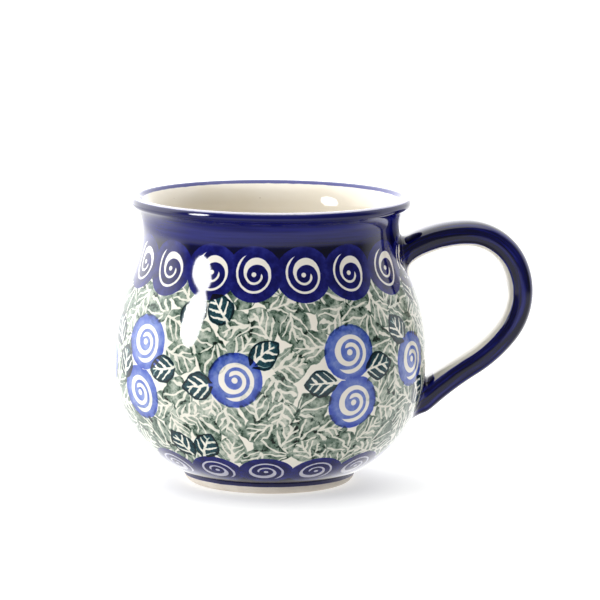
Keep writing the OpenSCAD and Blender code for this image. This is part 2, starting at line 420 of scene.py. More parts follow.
def scatter_sage(skin):
    """Throws leaf stamps over the belly, no two closer than SAGE_GAP, clear of roses and leaves,
    and deals them into layers so that no two stamps of a layer overlap."""
    rng = np.random.default_rng(SEED)
    marks = np.array([*ROSES, *(leaf[:2] for leaf in LEAVES)], float)
    clear = np.repeat([ROSE_CLEAR, LEAF_CLEAR], [len(ROSES), len(LEAVES)])
    low, high = SAGE_HEIGHTS
    thrown = np.zeros((0, 2))
    dealt = np.zeros(0, int)
    layers = [[] for _ in range(SAGE_LAYERS)]
    for turn, lift, tilt, tone in rng.random((SAGE_THROWS, 4)):
        stamp = (360 * turn, low + (high - low) * lift, 360 * tilt, tone)
        gaps = apart(stamp, thrown, skin)
        if np.any(apart(stamp, marks, skin) < clear) or np.any(gaps < SAGE_GAP):
            continue
        room = [gaps[dealt == number].min(initial=FAR) for number in range(SAGE_LAYERS)]
        layer = int(np.argmax(room))
        if room[layer] < SAME_LAYER_GAP:
            continue
        thrown = np.vstack([thrown, stamp[:2]])
        dealt = np.append(dealt, layer)
        layers[layer].append(stamp)
    return layers


def add_places(piece, name, places, faces):
    """Writes corner places into the mesh; faces beyond the outer skin hold no stamp."""
    values = np.full((faces * 4, 3), FAR, np.float32)
    values[:, 2] = 0
    flat = places.reshape(-1, 3)
    values[:len(flat)] = flat
    layer = piece.data.attributes.new(name, "FLOAT_VECTOR", "CORNER")
    layer.data.foreach_set("vector", values.ravel())


def unroll(piece, skin, faces):
    """The cup's own flat map: its outer skin as a front and a back strip, each half a turn wide,
    and every other face in one low strip above them."""
    row, turn = np.divmod(np.arange(faces), COLUMNS)
    corner_row = row[:, None] + np.array([0, 0, 1, 1])
    corner_turn = turn[:, None] + np.array([0, 1, 1, 0])
    half = COLUMNS // 2
    back = turn[:, None] >= half
    low = len(skin.length) - 1
    outer = row[:, None] < low
    lift = skin.length[np.minimum(corner_row, low)] / skin.length[-1]
    rest = (corner_row - low) / (faces // COLUMNS - low)
    u = np.where(outer, (corner_turn - half * back) / half, corner_turn / COLUMNS)
    v = np.where(outer, lift * STRIP_TALL + STRIP_STEP * back, REST_AT + rest * REST_TALL)
    layer = piece.data.uv_layers.new(name="OFBake")
    flat = MAP_EDGE + (1 - 2 * MAP_EDGE) * np.stack([u, v], axis=-1).reshape(-1)
    layer.data.foreach_set("uv", flat.astype(np.float32))


def stamp_outside(piece, rows, faces):
    """Keeps the places of all stamps in the coat's mesh, each set by hand and so a little off."""
    skin = Skin(rows)
    unroll(piece, skin, faces)
    rng = np.random.default_rng(SEED + 1)
    borders = [(turn, UPPER_Z + rng.normal(0, HAND_LIFT), rng.normal(0, HAND_TILT), rng.random())
               for turn in UPPER_TURNS]
    borders += [(turn, LOWER_Z + rng.normal(0, HAND_LIFT), 180 + rng.normal(0, HAND_TILT),
                 -1 - rng.random()) for turn in LOWER_TURNS]
    add_places(piece, "border", skin.layer(borders, (SCALLOP_R, SCALLOP_R)), faces)
    roses = [(turn, z, rng.normal(0, ROSE_TILT), rng.random()) for turn, z in ROSES]
    add_places(piece, "rose", skin.layer(roses, (ROSE_R, ROSE_R), 1.15), faces)
    leaves = [(turn, z, tilt, rng.random()) for turn, z, tilt in LEAVES]
    add_places(piece, "leaf", skin.layer(leaves, LEAF_HALF), faces)
    for number, layer in enumerate(scatter_sage(skin)):
        add_places(piece, f"sage_{number + 1}", skin.layer(layer, SAGE_HALF), faces)


# ---- the strap handle --------------------------------------------------------------------

STRAP_SIDES = 64
STRAP_RINGS = 121
FILLET_RINGS = 8
FINE = 0.05  # step along the strap's middle line, before its rings are placed


def strap_line():
    """Lengths, turns and places of the strap's middle line: the turn falls evenly along each run,
    and the place is the sum of the small steps (cos turn, sin turn)."""
    lengths = [math.radians(abs(turn)) * radius for radius, turn in STRAP_RUNS]
    ends = np.r_[0, np.cumsum(lengths)]
    turns = STRAP_START_TURN - np.r_[0, np.cumsum([turn for _, turn in STRAP_RUNS])]
    length = np.linspace(0, ends[-1], round(ends[-1] / FINE))
    turn = np.radians(np.interp(length, ends, turns))
    step = np.diff(length)
    middle = (turn[:-1] + turn[1:]) / 2
    x = STRAP_START[0] + np.r_[0, np.cumsum(step * np.cos(middle))]
    z = STRAP_START[1] + np.r_[0, np.cumsum(step * np.sin(middle))]
    return length, turn, x, z


STRAP = strap_line()


def oblong(sides, half_t, half_w):
    """A rounded oblong: u = t |cos b|^(2/n), v = w |sin b|^(2/n), with their signs."""
    b = (np.arange(sides) + 0.5) * 2 * np.pi / sides
    u = half_t * np.sign(np.cos(b)) * np.abs(np.cos(b)) ** (2 / STRAP_ROUND)
    v = half_w * np.sign(np.sin(b)) * np.abs(np.sin(b)) ** (2 / STRAP_ROUND)
    return u, v


def on_strap(length, u, v):
    """Points beside the strap's middle line at a length, u outwards and v sideways."""
    turn = np.interp(length, STRAP[0], STRAP[1])
    x = np.interp(length, STRAP[0], STRAP[2]) - u * np.sin(turn)
    z = np.interp(length, STRAP[0], STRAP[3]) + u * np.cos(turn)
    return np.stack([x, np.broadcast_to(v, x.shape), z], axis=-1)


WALL_RADIUS, WALL_HEIGHT = OUTSIDE[:int(np.argmax(OUTSIDE[:, 1])), :2].T
WALL_LENGTH = np.r_[0, np.cumsum(np.hypot(np.diff(WALL_RADIUS), np.diff(WALL_HEIGHT)))]


def clearance(points):
    """How far points stand off the cup's outside."""
    wall = np.interp(points[..., 2], WALL_HEIGHT, WALL_RADIUS)
    return np.hypot(points[..., 0], points[..., 1]) - wall


def strap_hits(u, v):
    """For each side of the section, the lengths at which it leaves the wall and meets it again."""
    length = STRAP[0][:, None]
    off = clearance(on_strap(length, u[None, :], v[None, :]))
    outside = off > 0
    middle = len(length) // 2
    leaves = middle - np.argmax(~outside[:middle][::-1], axis=0)
    meets = middle + np.argmax(~outside[middle:], axis=0)
    return STRAP[0][leaves], STRAP[0][meets]


def on_wall(turn, length):
    """Points of the cup's outside at a turn (radians) and a length along its profile."""
    radius = np.interp(length, WALL_LENGTH, WALL_RADIUS)
    z = np.interp(length, WALL_LENGTH, WALL_HEIGHT)
    return np.stack([radius * np.cos(turn), radius * np.sin(turn), z], axis=-1)


def spread(hit, reach):
    """Moves a closed loop of points on the wall away from its own middle, by reach over the wall."""
    turn = np.arctan2(hit[:, 1], hit[:, 0])
    radius = np.hypot(hit[:, 0], hit[:, 1])
    length = np.interp(hit[:, 2], WALL_HEIGHT, WALL_LENGTH)
    flat = np.stack([turn * radius.mean(), length], axis=1)
    along = np.roll(flat, -1, axis=0) - np.roll(flat, 1, axis=0)
    out = np.stack([along[:, 1], -along[:, 0]], axis=1)
    out /= np.linalg.norm(out, axis=1, keepdims=True)
    out *= np.sign(np.sum(out * (flat - flat.mean(axis=0))))
    flat = flat + reach * out
    return on_wall(flat[:, 0] / radius.mean(), flat[:, 1])


def inward(points, depth):
    """Points moved towards the cup's axis."""
    out = points.copy()
    radius = np.hypot(points[:, 0], points[:, 1])
    out[:, :2] *= ((radius - depth) / radius)[:, None]
    return out


def bend_to_wall(start, corner, end, steps):
    """Rings on the curve (1-t)^2 start + 2 t (1-t) corner + t^2 end."""
    t = np.linspace(0, 1, steps + 1)[:, None, None]
    return (1 - t) ** 2 * start + 2 * t * (1 - t) * corner + t * t * end


def strap_skin(half_t, half_w):
    """Rings of a strap with a fillet at each end, and each ring's (length, u, v) on the strap."""
    u, v = oblong(STRAP_SIDES, half_t, half_w)
    leaves, meets = strap_hits(u, v)
    first, last = leaves + FILLET, meets - FILLET
    share = np.linspace(0, 1, STRAP_RINGS)[:, None]
    length = first + (last - first) * share
    body = on_strap(length, u[None, :], v[None, :])
    rings = [body]
    lengths = [length]
    for hit_at, edge, flip in ((leaves, body[0], True), (meets, body[-1], False)):
        hit = on_strap(hit_at, u, v)
        foot = spread(hit, FILLET)
        curve = bend_to_wall(edge, hit, foot, FILLET_RINGS)[1:]
        curve = np.concatenate([curve, inward(foot, TUCK)[None]])
        place = np.broadcast_to(hit_at, curve.shape[:2])
        if flip:
            rings.insert(0, curve[::-1])
            lengths.insert(0, place)
        else:
            rings.append(curve)
            lengths.append(place)
    rings = np.concatenate(rings)
    lengths = np.concatenate(lengths)
    section = np.stack([lengths, np.broadcast_to(u, lengths.shape), np.broadcast_to(v, lengths.shape)],
                       axis=-1)
    return rings, section


def ring_normals(rings):
    """Outward normals of a tube of rings: the cross product of the ways round and along it."""
    along = np.gradient(rings, axis=0)
    around = np.roll(rings, -1, axis=1) - np.roll(rings, 1, axis=1)
    normal = np.cross(along, around)
    normal /= np.linalg.norm(normal, axis=-1, keepdims=True)
    middle = len(rings) // 2
    outward = rings[middle] - rings[middle].mean(axis=0)
    return normal * np.sign(np.sum(normal[middle] * outward))


def tube_piece(name, rings, closed):
    """A closed mesh through rings: a loop of rings, or a tube with a fan over each end."""
    rows, sides = rings.shape[:2]
    points = rings.reshape(-1, 3)
    quads = grid_quads(rows, sides, closed)
    if closed:
        piece = mesh_piece(name, points, quads)
    else:
        side = np.arange(sides)
        right = (side + 1) % sides
        top = (rows - 1) * sides
        fans = np.vstack([np.stack([right, side, np.full(sides, rows * sides)], axis=1),
                          np.stack([top + side, top + right, np.full(sides, rows * sides + 1)], axis=1)])
        ends = np.stack([rings[0].mean(axis=0), rings[-1].mean(axis=0)])
        piece = mesh_piece(name, np.vstack([points, ends]), quads, fans)
    face_outwards(piece)
    return piece


def face_outwards(piece):
    """Turns a closed mesh right side out if the volume it encloses comes out negative."""
    mesh = piece.data
    mesh.calc_loop_triangles()
    corners = np.zeros(len(mesh.loop_triangles) * 3, np.int32)
    mesh.loop_triangles.foreach_get("vertices", corners)
    points = np.zeros(len(mesh.vertices) * 3)
    mesh.vertices.foreach_get("co", points)
    a, b, c = points.reshape(-1, 3)[corners].reshape(-1, 3, 3).transpose(1, 0, 2)
    if np.sum(a * np.cross(b, c)) < 0:
        mesh.flip_normals()


def add_section(piece, section):
    """Keeps each point's (length, u, v) on the strap, for the brushwork."""
    values = np.zeros((len(piece.data.vertices), 3), np.float32)
    flat = section.reshape(-1, 3)
    values[:len(flat)] = flat
    layer = piece.data.attributes.new("strap", "FLOAT_VECTOR", "POINT")
    layer.data.foreach_set("vector", values.ravel())


# ---- nodes -------------------------------------------------------------------------------


class Wire:
    """A node's output, with plain arithmetic that adds Math nodes."""

    def __init__(self, nodes, socket):
        self.nodes = nodes
        self.socket = socket

    def __add__(self, other):
        return self.nodes.math("ADD", self, other)

    def __radd__(self, other):
        return self.nodes.math("ADD", other, self)

    def __sub__(self, other):
        return self.nodes.math("SUBTRACT", self, other)

    def __rsub__(self, other):
        return self.nodes.math("SUBTRACT", other, self)

    def __mul__(self, other):
        return self.nodes.math("MULTIPLY", self, other)

    def __rmul__(self, other):
        return self.nodes.math("MULTIPLY", other, self)

    def __truediv__(self, other):
        return self.nodes.math("DIVIDE", self, other)

    def __neg__(self):
        return self.nodes.math("MULTIPLY", self, -1.0)

    def __abs__(self):
        return self.nodes.math("ABSOLUTE", self)


class Nodes:
    """Adds nodes to one tree and joins them up. A value is a Wire, a number or a colour."""

    def __init__(self, tree):
        self.tree = tree

    def add(self, kind, inputs=(), output=0, **settings):
        """Adds a node with its inputs and settings, and returns one of its outputs."""
        node = self.tree.nodes.new(kind)
        for name, value in settings.items():
            setattr(node, name, value)
        for key, value in dict(inputs).items():
            self.join(value, node.inputs[key])
        return Wire(self, node.outputs[output])

    def join(self, value, socket):
        """Links a wire to a socket, or sets a plain value on it."""
        if isinstance(value, Wire):
            self.tree.links.new(value.socket, socket)
        else:
            socket.default_value = value

    def math(self, operation, *values):
        return self.add("ShaderNodeMath", enumerate(values), operation=operation)

    def vector(self, operation, *values):
        return self.add("ShaderNodeVectorMath", enumerate(values), operation=operation)

    def scaled(self, vector, factor):
        return self.add("ShaderNodeVectorMath", {0: vector, "Scale": factor}, operation="SCALE")

    def split(self, vector):
        node = self.tree.nodes.new("ShaderNodeSeparateXYZ")
        self.join(vector, node.inputs[0])
        return [Wire(self, output) for output in node.outputs]

    def larger(self, a, b):
        return self.math("MAXIMUM", a, b)

    def smaller(self, a, b):
        return self.math("MINIMUM", a, b)

    def hypot(self, x, y):
        """Root of x^2 + y^2."""
        return self.math("SQRT", x * x + y * y)

    def combine(self, x, y, z):
        return self.add("ShaderNodeCombineXYZ", {0: x, 1: y, 2: z})

    def ramp(self, value, start, end, low=0.0, high=1.0):
        """Goes smoothly from low to high as value goes from start to end."""
        return self.add("ShaderNodeMapRange", {0: value, 1: start, 2: end, 3: low, 4: high},
                        interpolation_type="SMOOTHSTEP")

    def mix(self, factor, a, b):
        return self.add("ShaderNodeMix", {0: factor, 6: a, 7: b}, 2, data_type="RGBA")

    def noise(self, vector, size, detail=2.0, rough=0.5, output=0):
        """Noise whose lumps are about size across, in the vector's own units."""
        return self.add("ShaderNodeTexNoise", {"Vector": vector, "Scale": 1 / size, "Detail": detail,
                                               "Roughness": rough}, output)

    def use(self, group, inputs):
        """Places a group and returns its outputs, in their own order."""
        node = self.tree.nodes.new("ShaderNodeGroup")
        node.node_tree = group
        for key, value in inputs.items():
            self.join(value, node.inputs[key])
        return [Wire(self, output) for output in node.outputs]

    def place_mm(self):
        """The object's own coordinates, in millimetres."""
        place = self.add("ShaderNodeTexCoord", output="Object")
        return self.scaled(place, 1 / MM)

    def attribute(self, name):
        return self.add("ShaderNodeAttribute", output="Vector", attribute_name=name)


KINDS = {float: "NodeSocketFloat", tuple: "NodeSocketVector"}


def group(name, inputs, outputs, kind="NodeSocketFloat"):
    """An empty group with named inputs, each with its usual value, and named outputs of a kind."""
    tree = bpy.data.node_groups.new(name, "ShaderNodeTree")
    for label, usual in inputs.items():
        socket = tree.interface.new_socket(name=label, in_out="INPUT", socket_type=KINDS[type(usual)])
        socket.default_value = usual
    for label in outputs:
        tree.interface.new_socket(name=label, in_out="OUTPUT", socket_type=kind)
    nodes = Nodes(tree)
    entry = tree.nodes.new("NodeGroupInput")
    leave = tree.nodes.new("NodeGroupOutput")
    wires = {label: Wire(nodes, entry.outputs[label]) for label in inputs}
    return tree, nodes, wires, leave


def leaf_stamp_group():
    """A leaf stamp: a print of ink, its outline halfway from an egg to a pointed lens, with a main
    vein and side veins left bare. Side veins are the lines where x - slant |y| - 0.11 y^2 is a
    whole number of pitches, half a pitch later on one side than on the other. With Fan at 1 they
    are rays from the base. Wiped is how clean of ink the veins are. Depth grows to 1 towards the
    outline, and Rim is 1 on it."""
    tree, n, put, leave = group(
        "Leaf stamp",
        {"Place": (0.0, 0.0, 0.0), "Wobble": 0.0, "Half length": 5.0, "Half width": 4.3,
         "Vein": 0.4, "Pitch": 3.0, "Slant": 0.7, "Margin": 0.84, "Fan": 0.0, "Wiped": 1.0},
        ("Ink", "Depth", "Rim"))
    x, y, tone = n.split(put["Place"])
    wobble = put["Wobble"]
    length = put["Half length"]
    side = abs(y)
    round_x = x / length
    round_y = y / (put["Half width"] * (1.0 - 0.14 * round_x))
    egg = n.hypot(round_x, round_y)
    lens = abs(round_y) + round_x * round_x
    rim = egg * 0.5 + lens * 0.5 + wobble * 0.05
    print_mask = n.ramp(rim, 1.02, 0.95)
    bow = y + wobble * 0.3 + (0.5 - tone) * 0.05 * x * x
    taper = n.ramp(x, -length, length * 0.8, 1.15, 0.6)
    main = n.ramp(abs(bow) - put["Vein"] * taper, 0.12, -0.1)
    main = main * n.ramp(x, length * 0.76, length * 0.62)
    shift = n.math("GREATER_THAN", y, 0.0) * 0.5 + tone * 0.5
    from_vein = x - put["Slant"] * side - 0.11 * side * side + wobble * 0.5
    beside = abs(n.math("FRACT", from_vein / put["Pitch"] + shift) - 0.5) * put["Pitch"] * 0.78
    thin = put["Vein"] * (1.15 - 0.1 * side + 0.3 * wobble)
    ribs = n.ramp(beside - thin, 0.12, -0.1)
    ribs = ribs * n.ramp(from_vein, -length * 0.95, -length * 0.85)
    ribs = ribs * n.ramp(from_vein, length * 0.6, length * 0.42)
    base_x = x + length * 0.9
    ray_angle = n.math("ARCTAN2", y + wobble * 0.2, base_x) / FAN_STEP
    ray_off = abs(n.math("FRACT", ray_angle + 0.5 + 0.3 * tone) - 0.5) * FAN_STEP
    away = n.hypot(base_x, y)
    rays = n.ramp(ray_off * away - put["Vein"] * 0.9, 0.12, -0.1) * n.ramp(away, 1.0, 1.6)
    ribs = n.larger(ribs, main)
    ribs = ribs + (rays - ribs) * put["Fan"]
    margin = put["Margin"] + 0.22 * wobble
    bare = ribs * n.ramp(rim, margin + 0.05, margin - 0.05)
    stem = main * n.ramp(x, 0.0, -1.0) * (1.0 - put["Fan"])
    bare = n.larger(bare, stem)
    n.join(print_mask * (1.0 - bare * put["Wiped"]), leave.inputs["Ink"])
    n.join(n.ramp(rim, 0.66, 0.98), leave.inputs["Depth"])
    n.join(rim, leave.inputs["Rim"])
    return tree


def spiral_stamp_group():
    """A spiral line left bare in a print: r = start + pitch t, where t counts turns clockwise
    from the first one. Its half width swells round one place and thins out at both ends."""
    tree, n, put, leave = group(
        "Spiral line",
        {"X": 0.0, "Y": 0.0, "Start radius": 1.95, "Pitch": 2.34, "Turns": 1.74,
         "Start turn": 0.39, "Line": 0.64, "Swell": 0.34, "Swell at": 0.9, "Dot": 0.95},
        ("Line",))
    x, y = put["X"], put["Y"]
    radius = n.hypot(x, y)
    angle = n.math("ARCTAN2", y, x) / (2 * math.pi)
    base = n.math("FRACT", put["Start turn"] - angle + 2.0)
    arm = n.math("ROUND", (radius - put["Start radius"]) / put["Pitch"] - base)
    arm = n.smaller(n.larger(arm, 0.0), 1.0)
    travelled = base + arm
    middle = put["Start radius"] + put["Pitch"] * travelled
    swell = n.ramp(abs(travelled - put["Swell at"]), 0.34, 0.0)
    half = put["Line"] + put["Swell"] * swell
    ends = n.ramp(travelled, -0.02, 0.1) * n.ramp(travelled, put["Turns"] + 0.01, put["Turns"] - 0.1)
    half = half * n.math("SQRT", ends) - 0.12 * (1.0 - ends)
    line = n.ramp(abs(radius - middle), half + 0.1, half - 0.1)
    dot = n.ramp(radius, put["Dot"] + 0.1, put["Dot"] - 0.12)
    n.join(n.larger(line, dot), leave.inputs["Line"])
    return tree


def brush_group():
    """Brushed paint on a turned wall: streaks that run level round the cup, long and thin."""
    tree, n, put, leave = group("Brush streaks", {"Place": (0.0, 0.0, 0.0)}, ("Streaks",))
    stretched = n.vector("MULTIPLY", put["Place"], (0.035, 0.035, 1.0))
    broad = n.noise(stretched, 2.4, 3.0, 0.6)
    fine = n.noise(stretched, 0.7, 2.0, 0.6)
    n.join(broad * 0.65 + fine * 0.35, leave.inputs["Streaks"])
    return tree


def speck_group():
    """Fine iron specks in the clay: the small cores of the few Voronoi cells whose draw is above
    Pick."""
    tree, n, put, leave = group("Iron specks", {"Place": (0.0, 0.0, 0.0), "Pick": 0.72}, ("Specks",))
    cells = {"Vector": put["Place"], "Scale": 0.32}
    core = n.add("ShaderNodeTexVoronoi", cells, "Distance")
    draw = n.split(n.add("ShaderNodeTexVoronoi", cells, "Color"))[0]
    few = n.math("GREATER_THAN", draw, put["Pick"])
    n.join(n.ramp(core, 0.055, 0.03) * few, leave.inputs["Specks"])
    return tree


def ripple_group():
    """The slight unevenness of a fired coat, in millimetres: broad waves with a fine ripple."""
    tree, n, put, leave = group(
        "Fired ripple", {"Place": (0.0, 0.0, 0.0), "Waves": 0.16, "Fine": 0.012}, ("Height",))
    waves = n.noise(put["Place"], 9.0, 1.0) * put["Waves"]
    fine = n.noise(put["Place"], 2.2, 1.0) * put["Fine"]
    n.join(waves + fine, leave.inputs["Height"])
    return tree


def ink_group():
    """A ground seen through ink: ground e^(-depth takes), in each of red, green and blue."""
    tree, n, put, leave = group(
        "Ink", {"Ground": (1.0, 1.0, 1.0), "Depth": 0.0, "Takes": (1.0, 1.0, 1.0)},
        ("Colour",), "NodeSocketColor")
    taken = n.split(n.scaled(put["Takes"], put["Depth"]))
    left = [n.math("EXPONENT", -channel) for channel in taken]
    n.join(n.vector("MULTIPLY", put["Ground"], n.combine(*left)), leave.inputs["Colour"])
    return tree


LEAF_STAMP = leaf_stamp_group()
SPIRAL = spiral_stamp_group()
STREAKS = brush_group()
SPECKS = speck_group()
RIPPLE = ripple_group()
INK = ink_group()

CREAM = (0.76, 0.72, 0.635, 1.0)
GLAZED_IRON = (0.25, 0.17, 0.1, 1.0)
# How strongly each ink takes red, green and blue out of the cream below it.
SAGE_INK = (0.92, 0.72, 0.79)
LEAF_INK = (4.6, 2.95, 2.55)
ROSE_INK = (1.95, 1.5, 0.36)
COBALT_INK = (4.4, 4.1, 1.5)
# Cobalt on the wall round the handle's joints: height, then reach up, down and across.
JOINT_PAINT = ((66.0, 8.0, 9.5, 10.5), (36.5, 6.5, 9.0, 9.8))


def inked(n, ground, *inks):
    """A ground seen through inks, each given as (depth, what it takes out)."""
    for depth, takes in inks:
        ground = n.use(INK, {"Ground": ground, "Depth": depth, "Takes": takes})[0]
    return ground


def specked(n, place, ground, iron):
    """A ground with specks of iron in it."""
    return n.mix(n.use(SPECKS, {"Place": place})[0], ground, iron)


def material(name):
    """An empty material, and its nodes."""
    made = bpy.data.materials.new(name)
    made.use_nodes = True
    made.node_tree.nodes.clear()
    return made, Nodes(made.node_tree)


def shade(n, **sockets):
    """A Principled shader on the material's output; constants go straight on its sockets."""
    shader = n.tree.nodes.new("ShaderNodeBsdfPrincipled")
    for label, value in sockets.items():
        n.join(value, shader.inputs[label.replace("_", " ")])
    output = n.tree.nodes.new("ShaderNodeOutputMaterial")
    n.tree.links.new(shader.outputs[0], output.inputs[0])


def glaze_ripple(n, place, strength=0.3):
    """The normals of a fired coat."""
    height = n.use(RIPPLE, {"Place": place})[0]
    return n.add("ShaderNodeBump", {"Strength": strength, "Distance": MM, "Height": height})


def joint_paint(n, place, wobble):
    """Cobalt carried from the handle on to the wall round its two joints, as uneven rounds."""
    x, y, z = n.split(place)
    front = n.math("GREATER_THAN", x, 0.0)
    total = 0.0
    for height, up, down, across in JOINT_PAINT:
        rise = z - height
        reach = n.ramp(rise, -0.5, 0.5, down, up)
        spot = n.hypot(rise / reach, y / across)
        total = n.larger(total, n.ramp(spot + wobble * 0.05, 1.03, 0.95) * front)
    return total


def cobalt_borders(n, place, wobble, blotch):
    """Both rows of scallops, each with a bare spiral, and the cobalt brushed beyond them and round
    the joints, thin along the lip's crest. Returns its depth and the share of ground it covers."""
    x, y, tone = n.split(n.attribute("border"))
    z = n.split(place)[2]
    lower = n.math("LESS_THAN", tone, -0.5)
    y = y * (1.0 + 0.24 * lower)
    radius = n.hypot(x, y)
    disc = n.ramp(radius + wobble * 0.12, SCALLOP_R + 0.12, SCALLOP_R - 0.12)
    spiral = {"X": x - 0.45 + wobble * 0.1, "Y": y / 1.1, "Start radius": 1.75, "Pitch": 2.45,
              "Turns": 1.72, "Start turn": 0.03, "Line": 0.38, "Swell": 0.62, "Swell at": 0.78,
              "Dot": 0.0}
    line = n.larger(n.use(SPIRAL, spiral)[0], n.ramp(radius, 0.85, 0.65))
    scallop = disc * n.ramp(blotch, 0.3, 0.75, 1.0, 1.5) * n.ramp(radius, 5.0, 8.4, 1.15, 0.9)

    streaks = n.use(STREAKS, {"Place": place})[0]
    above = n.ramp(z + wobble * 0.2, UPPER_Z + 0.8, UPPER_Z + 2.6)
    under = n.ramp(z + wobble * 0.15, LOWER_Z - 1.2, LOWER_Z - 2.0)
    joints = joint_paint(n, place, wobble)
    band = n.larger(n.larger(above, under), joints)
    crowded = n.ramp(z, UPPER_Z + 11.0, UPPER_Z + 6.5, 1.0, 1.7)
    brushed = band * n.ramp(streaks, 0.3, 0.7, 1.05, 1.75) * crowded * (1.0 - disc)
    thin_lip = n.ramp(z + wobble * 0.06, HEIGHT - 0.48, HEIGHT - 0.36, 1.0, 0.08)
    line = line * (1.0 - 0.07 * lower) * (1.0 - joints)
    return (scallop + brushed) * (1.0 - line) * thin_lip, n.larger(disc, band)


def leaf_prints(n, bend, wobble, sponge):
    """The dark leaves. Returns their depth, and how open the ground beside them is."""
    spot = n.vector("ADD", n.attribute("leaf"), n.vector("MULTIPLY", bend, (1.4, 1.4, 0.0)))
    stamp = {"Place": spot, "Wobble": wobble, "Half length": LEAF_HALF[0],
             "Half width": LEAF_HALF[1]}
    ink, edge, rim = n.use(LEAF_STAMP, stamp)
    depth = ink * (0.95 + 0.4 * edge) * n.ramp(sponge, 0.3, 0.7, 0.85, 1.2)
    return depth, n.ramp(rim, 0.85, 1.0, 0.1, 1.0)


def rose_prints(n, wobble, blotch):
    """The roses. Returns their depth, and how open the ground beside them is."""
    x, y, tone = n.split(n.attribute("rose"))
    radius = n.hypot(x, y)
    disc = n.ramp(radius + wobble * 0.2, ROSE_R + 0.12, ROSE_R - 0.12)
    line = n.use(SPIRAL, {"X": x + wobble * 0.12, "Y": y})[0]
    edge = n.ramp(radius, ROSE_R - 2.6, ROSE_R - 0.2, 0.9, 1.35)
    tint = n.ramp(blotch, 0.3, 0.7, 0.8, 1.25) * (0.9 + 0.25 * tone)
    return disc * (1.0 - line) * edge * tint, n.ramp(radius, ROSE_R - 0.9, ROSE_R, 0.1, 1.0)


def sage_prints(n, place, bend, wobble, blotch):
    """The sage leaves. Where two prints meet, the one whose middle is nearer shows its veins, and
    the ink pools."""
    sage, nearest, second = 0.0, 9.0, 9.0
    for number in range(SAGE_LAYERS):
        spot = n.attribute(f"sage_{number + 1}")
        tone = n.split(spot)[2]
        spot = n.vector("ADD", spot, n.vector("MULTIPLY", bend, (3.2, 3.2, 0.0)))
        stamp = {"Place": spot, "Wobble": wobble, "Half length": SAGE_HALF[0],
                 "Half width": SAGE_HALF[1], "Vein": 0.39, "Pitch": 2.6 + tone * 0.9,
                 "Slant": 0.5 + tone * 0.6, "Margin": 0.86,
                 "Fan": n.math("GREATER_THAN", tone, 0.74), "Wiped": 0.92}
        ink, edge, rim = n.use(LEAF_STAMP, stamp)
        ink = ink * (0.75 + 0.5 * tone) * (1.0 + 0.35 * edge)
        takes = n.ramp(rim - nearest, 0.04, -0.04)
        sage = sage + (ink - sage) * takes
        second = n.smaller(second, n.larger(rim, nearest))
        nearest = n.smaller(nearest, rim)
    sage = sage * n.ramp(blotch, 0.3, 0.7, 0.55, 2.1)
    pools = n.ramp(n.noise(place, 1.7, 2.0, 0.6), 0.5, 0.62)
    pooled = pools * (0.5 + n.ramp(second, 1.05, 0.8))
    return sage + sage * pooled * 1.5


def decorated_glaze():
    """Cream under sage leaf prints, dark leaves, roses, scallops and brushed cobalt bands."""
    made, n = material("stamped_glaze")
    place = n.place_mm()
    wobble = (n.noise(place, 1.3, 1.0) - 0.5) * 2.0
    blotch = n.noise(place, 3.0, 3.0, 0.6)
    sponge = n.noise(place, 0.55, 2.0, 0.6)
    bend = n.vector("SUBTRACT", n.noise(place, 4.2, 1.0, output="Color"), (0.5, 0.5, 0.5))
    cobalt, covered = cobalt_borders(n, place, wobble, blotch)
    leaf, beside_leaf = leaf_prints(n, bend, wobble, sponge)
    rose, beside_rose = rose_prints(n, wobble, blotch)
    open_ground = (1.0 - 0.97 * covered) * beside_leaf * beside_rose
    sage = sage_prints(n, place, bend, wobble, blotch) * open_ground
    colour = inked(n, specked(n, place, CREAM, GLAZED_IRON), (cobalt, COBALT_INK),
                   (leaf, LEAF_INK), (rose, ROSE_INK), (sage, SAGE_INK))
    shade(n, Base_Color=colour, Roughness=0.07, IOR=1.5, Normal=glaze_ripple(n, place, 0.35))
    return made


def clear_glaze():
    """Cream glaze inside the cup, with the cobalt of the lip brushed just over its top."""
    made, n = material("cream_glaze")
    place = n.place_mm()
    z = n.split(place)[2]
    cloud = n.noise(place, 14.0, 3.0)
    cream = n.mix(n.ramp(cloud, 0.3, 0.7), (0.83, 0.78, 0.68, 1.0), (0.8, 0.74, 0.625, 1.0))
    cream = specked(n, place, cream, (0.3, 0.2, 0.12, 1.0))
    wobble = (n.noise(place, 3.0, 2.0) - 0.5) * 0.3
    lip = n.ramp(z + wobble, HEIGHT - 1.05, HEIGHT - 0.8, 0.0, 0.8)
    shade(n, Base_Color=inked(n, cream, (lip, COBALT_INK)), Roughness=0.08, IOR=1.5,
          Normal=glaze_ripple(n, place))
    return made


def cobalt_glaze():
    """Cobalt brushed along the outer face and sides of the strap, and all round its lower joint;
    its inner face stays cream."""
    made, n = material("brushed_cobalt")
    place = n.place_mm()
    x, _, z = n.split(place)
    spot = n.attribute("strap")
    out = n.split(spot)[1]
    stretched = n.vector("MULTIPLY", spot, (0.06, 1.0, 1.0))
    streaks = n.noise(stretched, 1.6, 3.0, 0.6)
    ragged = (n.noise(stretched, 0.9, 2.0) - 0.5) * 0.8
    outer_face = n.ramp(out + ragged, -2.75, -2.4)
    lower_joint = n.ramp(x + ragged, 50.6, 50.0) * n.ramp(z, 46.0, 44.0)
    painted = n.larger(outer_face, lower_joint)
    depth = painted * n.ramp(streaks, 0.34, 0.66, 0.95, 2.5)
    cream = specked(n, place, CREAM, GLAZED_IRON)
    shade(n, Base_Color=inked(n, cream, (depth, COBALT_INK)), Roughness=0.06, IOR=1.5,
          Normal=glaze_ripple(n, place))
    return made


